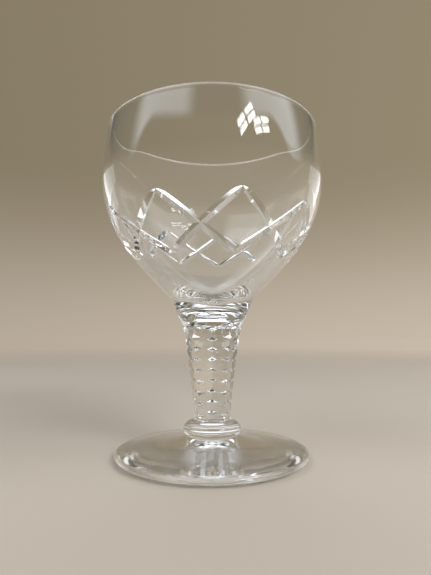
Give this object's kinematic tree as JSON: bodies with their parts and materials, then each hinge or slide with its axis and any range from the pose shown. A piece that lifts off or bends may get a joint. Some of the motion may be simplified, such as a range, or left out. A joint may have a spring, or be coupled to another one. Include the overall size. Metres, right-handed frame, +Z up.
{
  "type": "wine glass",
  "caption": "Stemmed cut-glass wine glass: rounded bowl with a diamond lattice of mitre cuts, tapering faceted stem with notched edges, ring collar and low conical foot.",
  "frame": {"origin": "centre of the foot's underside, on the glass's axis", "axes": "+Z up along the glass's axis from the foot to the rim; -Y is the side that faces the camera in the picture; +X is to the right there"},
  "size_m": [0.0822, 0.0822, 0.12],
  "materials": {
    "bowl_glass": "clear, fire-polished, with polished mitre cuts",
    "stem_glass": "clear, cut flats with notched edges, acid-polished",
    "collar_glass": "clear, fire-polished",
    "foot_glass": "clear, fire-polished, smooth underside"
  },
  "bodies": {
    "root": {"bowl": "bowl_glass", "stem": "stem_glass", "collar": "collar_glass", "foot": "foot_glass"}
  },
  "joints": []
}
